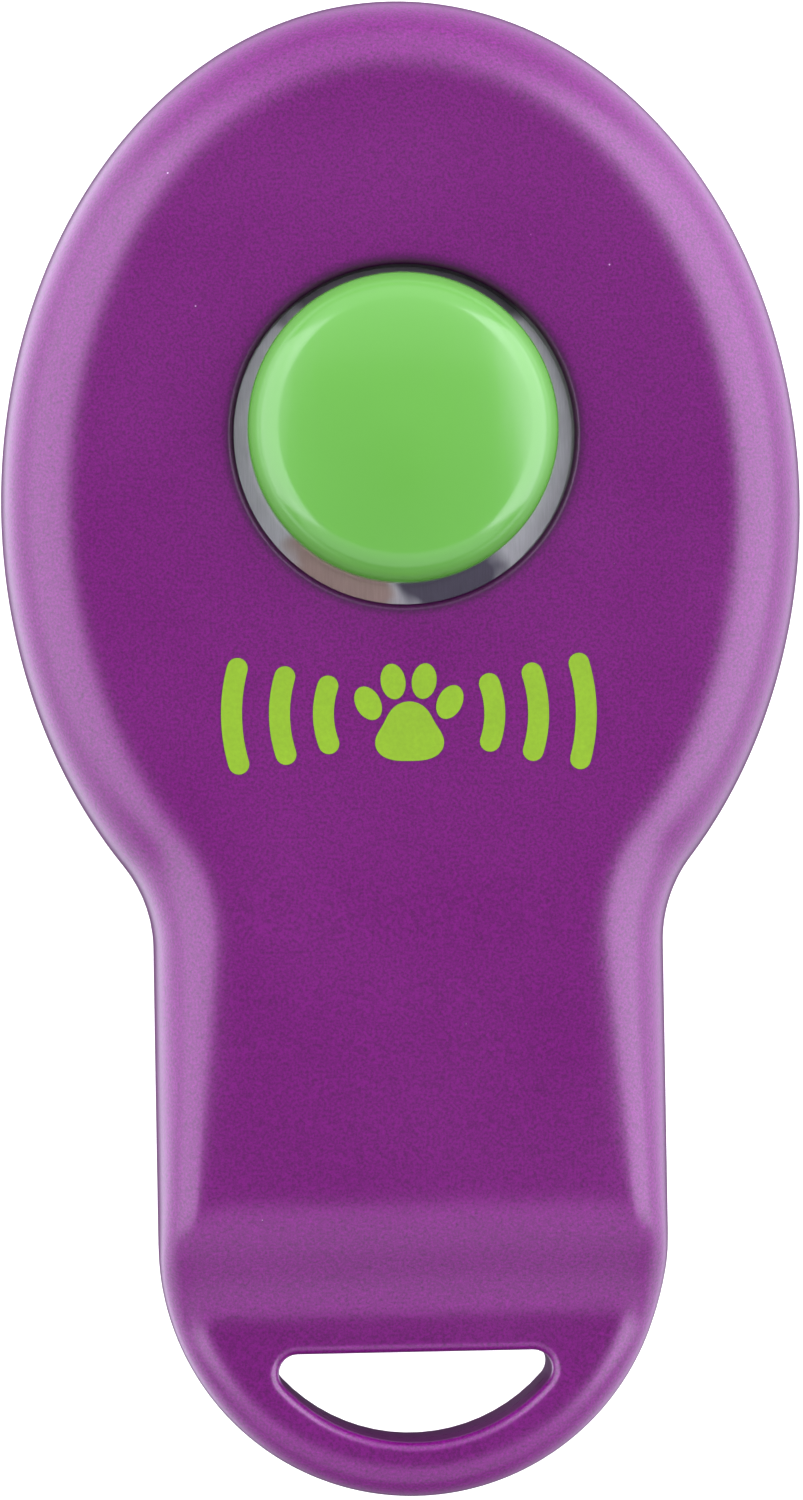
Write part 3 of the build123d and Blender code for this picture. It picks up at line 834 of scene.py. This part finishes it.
def strap_path():
    """Centre line of the strap in (y, z): round one pin, across the groove, round the other."""
    half = STRAP_THICKNESS / 2
    run_z = STRAP_LOW.z + half
    neck_y, neck_z = PIN_NECK.y, PIN_NECK.z
    points = arc((neck_y, neck_z), PIN_RADIUS + half, -50.0, 200.0, 40)
    points += [(neck_y - 1.05, 4.72), (neck_y - 0.55, 4.15), (neck_y - 0.12, 3.65), (neck_y, 3.1)]
    points += arc((neck_y + STRAP_BEND, run_z + STRAP_BEND), STRAP_BEND, 180.0, 270.0, 10)
    middle = (PIN_NECK.y + PIN_HEAD.y) / 2
    ahead = points[-1][0]
    for k in range(1, 13):
        points.append((ahead + (middle - ahead) * k / 12, run_z))
    mirrored = [(2 * middle - y, z) for y, z in reversed(points[:-1])]
    return smooth_path(points + mirrored)


def smooth_path(points, passes=3):
    for _ in range(passes):
        eased = [points[0]]
        for before, here, after in zip(points, points[1:], points[2:]):
            eased.append(tuple(0.25 * a + 0.5 * b + 0.25 * c for a, b, c in zip(before, here, after)))
        points = eased + [points[-1]]
    return points


def build_strap():
    """Ribbed elastic webbing swept along its path, thinner at its two edges."""
    path = strap_path()
    width = STRAP_HIGH.x - STRAP_LOW.x
    half = STRAP_THICKNESS / 2
    across = STRAP_RIBS * 12
    mesh = bmesh.new()
    sections = []
    for number, (y, z) in enumerate(path):
        before, after = path[max(number - 1, 0)], path[min(number + 1, len(path) - 1)]
        along = Vector((after[0] - before[0], after[1] - before[1])).normalized()
        side = Vector((-along.y, along.x))
        section = []
        for face in (1, -1):
            for k in range(across + 1):
                share = k / across
                x = (share - 0.5) * width * face
                rib = STRAP_RIB_DEPTH * abs(math.sin(math.pi * STRAP_RIBS * share)) ** 0.6
                edge = min(share, 1 - share) * width
                thin = 1 - 0.45 * (1 - min(edge / 0.5, 1.0)) ** 2
                reach = (half - STRAP_RIB_DEPTH + rib) * thin * face
                section.append(mesh.verts.new((x, y + side.x * reach, z + side.y * reach)))
        sections.append(section)
    for first, second in zip(sections, sections[1:]):
        bridge(mesh, first, second)
    for section in (sections[0], sections[-1]):
        mesh.faces.new(section)
    bmesh.ops.triangulate(mesh, faces=[f for f in mesh.faces if len(f.verts) > 4])
    piece = finish_piece("elastic_strap", mesh, "webbing", "housing", 50.0)
    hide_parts("finger_strap")
    flat = (width * MM, sum(math.dist(first, second) for first, second in zip(path, path[1:])) * MM)


build_strap()


# =====================================================================================================
# Printed mark
# =====================================================================================================
MARK_Y = 1.7
MARK_LOW = HEAD_TOP_Z - 0.02
MARK_HIGH = HEAD_TOP_Z + 0.03
WAVE_STROKE = 1.05
WAVES = [(4.3, 1.45), (6.5, 1.95), (8.9, 2.4)]  # radius of each sound wave, and half its height
TOES = [(-2.05, 0.55, 28.0), (-0.78, 1.62, 9.0), (0.78, 1.62, -9.0), (2.05, 0.55, -28.0)]  # x, y, tilt
TOE_HALF_WIDTH = 0.62
TOE_HALF_LENGTH = 0.9


def slab(mesh, points):
    """A thin closed sheet of ink with the given outline."""
    top = ring_of(mesh, points, MARK_HIGH)
    low = ring_of(mesh, points, MARK_LOW)
    bridge(mesh, low, top)
    mesh.faces.new(top)
    mesh.faces.new(list(reversed(low)))


def oval(x, y, across, along, tilt, count=40):
    """Points of an ellipse with its half sizes, turned anticlockwise by tilt degrees."""
    cosine, sine = math.cos(math.radians(tilt)), math.sin(math.radians(tilt))
    points = []
    for px, py in circle_points(0.0, 0.0, 1.0, count):
        px, py = px * across, py * along
        points.append((x + px * cosine - py * sine, y + px * sine + py * cosine))
    return points


def build_mark():
    """A printed paw between two sets of three sound waves."""
    mesh = bmesh.new()
    pad = []
    for k in range(64):
        angle = 2 * math.pi * k / 64
        size = 1.0 + 0.12 * math.cos(3 * (angle - math.pi / 2)) - 0.05 * math.cos(2 * angle)
        pad.append((1.72 * size * math.cos(angle), MARK_Y - 1.05 + 1.42 * size * math.sin(angle)))
    slab(mesh, pad)
    for x, y, tilt in TOES:
        slab(mesh, oval(x, MARK_Y + y, TOE_HALF_WIDTH, TOE_HALF_LENGTH, tilt))
    half = WAVE_STROKE / 2
    for side in (1, -1):
        for radius, reach in WAVES:
            spread = math.degrees(math.asin(reach / radius))
            points = arc((0.0, 0.0), radius + half, -spread, spread, 24)
            end = (radius * math.cos(math.radians(spread)), radius * math.sin(math.radians(spread)))
            points += arc(end, half, spread, spread + 180.0, 10)[1:-1]
            points += arc((0.0, 0.0), radius - half, spread, -spread, 24)
            points += arc((end[0], -end[1]), half, 180.0 - spread, 360.0 - spread, 10)[1:-1]
            slab(mesh, [(side * x, MARK_Y + y) for x, y in points])
    finish_piece("printed_mark", mesh, "print_ink", "housing")


build_mark()


# =====================================================================================================
# CAD nodes that stay
# =====================================================================================================
KEPT = {
    "bottom_shell": "housing",
    "button_plunger": "inner_plastic",
    "plunger_screw": "screw_steel",
    "disc_washer": "screw_steel",
    "disc_retainer": "inner_plastic",
    "retainer_screws": "screw_steel",
    "case_screws": "screw_steel",
    "strap_pin_head": "screw_steel",
    "strap_pin_neck": "screw_steel",
}
for name, slot in KEPT.items():
    give_material(NODES[name], slot)


# =====================================================================================================
# Floor and light
# =====================================================================================================
SWEEP_RADIUS = 4.0  # metres
SWEEP_CURVE = 1.5
SWEEP_GLOW = 1.0
SWEEP_DROP = 0.00005  # how far the floor lies below the object


def build_sweep():
    """A pale floor that curves up into a pale wall, seen by the camera only, and only from above."""
    floor_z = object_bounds()[0][2] - SWEEP_DROP
    corner = (SWEEP_RADIUS - SWEEP_CURVE, floor_z + SWEEP_CURVE)
    profile = arc(corner, SWEEP_CURVE, -90.0, 0.0, 16)
    profile.append((SWEEP_RADIUS, floor_z + SWEEP_RADIUS))
    mesh = bmesh.new()
    rings = [ring_of(mesh, circle_points(0.0, 0.0, radius, 96), z) for radius, z in profile]
    for first, second in zip(rings, rings[1:]):
        bridge(mesh, first, second)
    floor = mesh.faces.new(rings[0])
    bmesh.ops.recalc_face_normals(mesh, faces=mesh.faces)
    if floor.normal.z < 0.0:
        bmesh.ops.reverse_faces(mesh, faces=mesh.faces)
    for face in mesh.faces:
        face.smooth = len(face.verts) == 4
    sweep = loose_object("sweep", mesh)
    g = Graph("pale_sweep", 0.9)
    g.set("Base Color", (0.3, 0.3, 0.3, 1.0))
    g.set("Specular IOR Level", 0.0)
    g.set("Emission Color", (1.0, 1.0, 1.0, 1.0))
    g.set("Emission Strength", SWEEP_GLOW)
    g.set("Alpha", g.math("SUBTRACT", 1.0, g.node("ShaderNodeNewGeometry").outputs["Backfacing"]))
    sweep.data.materials.append(g.material)
    sweep.visible_diffuse = False
    sweep.visible_glossy = False
    sweep.visible_shadow = False


build_sweep()


LIGHT_TINT = (0.97, 0.96, 1.12)


def softbox(name, off_zenith, azimuth, distance, tall, wide, radiance):
    """A rectangular area light that faces the object; radiance is how bright it looks.

    off_zenith and azimuth (0 towards +X, 90 towards +Y) give its middle's direction in degrees. tall is its
    extent up and down the sky, and wide its extent along the horizon, in metres.
    """
    light = bpy.data.lights.new(name, "AREA")
    light.shape = "RECTANGLE"
    light.size = wide
    light.size_y = tall
    light.energy = radiance * wide * tall * math.pi
    light.color = LIGHT_TINT
    lamp = bpy.data.objects.new(name, light)
    bpy.context.scene.collection.objects.link(lamp)
    tilt, turn = math.radians(off_zenith), math.radians(azimuth)
    toward = Vector((math.sin(tilt) * math.cos(turn), math.sin(tilt) * math.sin(turn), math.cos(tilt)))
    lamp.location = toward * distance
    lamp.rotation_euler = toward.to_track_quat("Z", "Y").to_euler()
    lamp.visible_camera = False
    return lamp


softbox("left_box", 55.5, 172.0, 0.7, 0.76, 1.10, 4.2)
softbox("right_box", 56.0, 8.0, 0.7, 0.72, 1.10, 5.2)
softbox("head_box_high", 48.0, 90.0, 0.8, 0.85, 1.3, 0.6)
softbox("head_box_middle", 54.5, 90.0, 0.8, 0.76, 1.3, 0.4)
softbox("head_box_low", 57.0, 90.0, 0.8, 0.68, 1.3, 0.4)
softbox("tail_box", 54.0, 270.0, 0.8, 0.66, 1.8, 1.25)
head_fill = softbox("head_fill", 62.0, 90.0, 0.8, 0.6, 1.2, 2.8)
head_fill.visible_glossy = False

CEILING = 0.28
CAMERA_SHADE = 0.08  # the ceiling just behind the camera
CAMERA_SIDE = (0.03, -0.11, 1.0)
BOUNCE_ENDS = 0.85  # the white surroundings at and below the horizon, past the object's two ends
BOUNCE_SIDES = 1.6  # how much brighter they are at its sides
BOUNCE_HEAD = 0.4  # and past its head
GAIN_BELOW = 0.5  # how much brighter they get from the horizon down
GAIN_BELOW_RIGHT = -1.0  # and what towards +X adds to that


def build_world():
    """A pale ceiling that is dark behind the camera, and light from round and below the horizon."""
    world = bpy.data.worlds.new("studio")
    bpy.context.scene.world = world
    world.use_nodes = True
    tree = world.node_tree
    links = tree.links

    def ramp(source, low, high, to_low, to_high):
        made = tree.nodes.new("ShaderNodeMapRange")
        made.interpolation_type = "SMOOTHSTEP"
        links.new(source, made.inputs["Value"])
        for name, value in (("From Min", low), ("From Max", high), ("To Min", to_low), ("To Max", to_high)):
            made.inputs[name].default_value = value
        return made.outputs["Result"]

    def compute(operation, *values):
        made = tree.nodes.new("ShaderNodeMath")
        made.operation = operation
        for socket, value in zip(made.inputs, values):
            if isinstance(value, bpy.types.NodeSocket):
                links.new(value, socket)
            else:
                socket.default_value = value
        return made.outputs[0]

    direction = tree.nodes.new("ShaderNodeTexCoord").outputs["Generated"]
    split = tree.nodes.new("ShaderNodeSeparateXYZ")
    links.new(direction, split.inputs[0])
    x, y, up = split.outputs
    x_squared = compute("MULTIPLY", x, x)
    sideways = compute("DIVIDE", x_squared, compute("MULTIPLY_ADD", y, y, compute("ADD", x_squared, 0.01)))
    sideways = ramp(sideways, 0.0, 0.7, 0.0, 1.0)
    around = compute("MULTIPLY_ADD", sideways, BOUNCE_SIDES, BOUNCE_ENDS)
    around = compute("MULTIPLY_ADD", y, BOUNCE_HEAD, around)
    gain = compute("MULTIPLY_ADD", x, GAIN_BELOW_RIGHT, GAIN_BELOW)
    below = compute("MINIMUM", up, 0.0)
    below = compute("MULTIPLY", below, below)
    low = compute("MULTIPLY", around, compute("MULTIPLY_ADD", below, gain, 1.0))
    low = compute("MULTIPLY", low, ramp(up, 0.0, 0.15, 1.0, 0.0))
    low = compute("MULTIPLY", low, ramp(up, -0.92, -0.73, 0.0, 1.0))
    behind = tree.nodes.new("ShaderNodeVectorMath")
    behind.operation = "DISTANCE"
    links.new(direction, behind.inputs[0])
    behind.inputs[1].default_value = CAMERA_SIDE
    high = ramp(behind.outputs["Value"], 0.06, 0.20, CAMERA_SHADE, CEILING)
    high = compute("MULTIPLY", high, ramp(up, 0.0, 0.22, 0.0, 1.0))
    background = tree.nodes["Background"]
    background.inputs["Color"].default_value = (*LIGHT_TINT, 1.0)
    links.new(compute("ADD", low, high), background.inputs["Strength"])


build_world()
bpy.context.scene.view_settings.view_transform = "Standard"
bpy.context.scene.view_settings.look = "None"
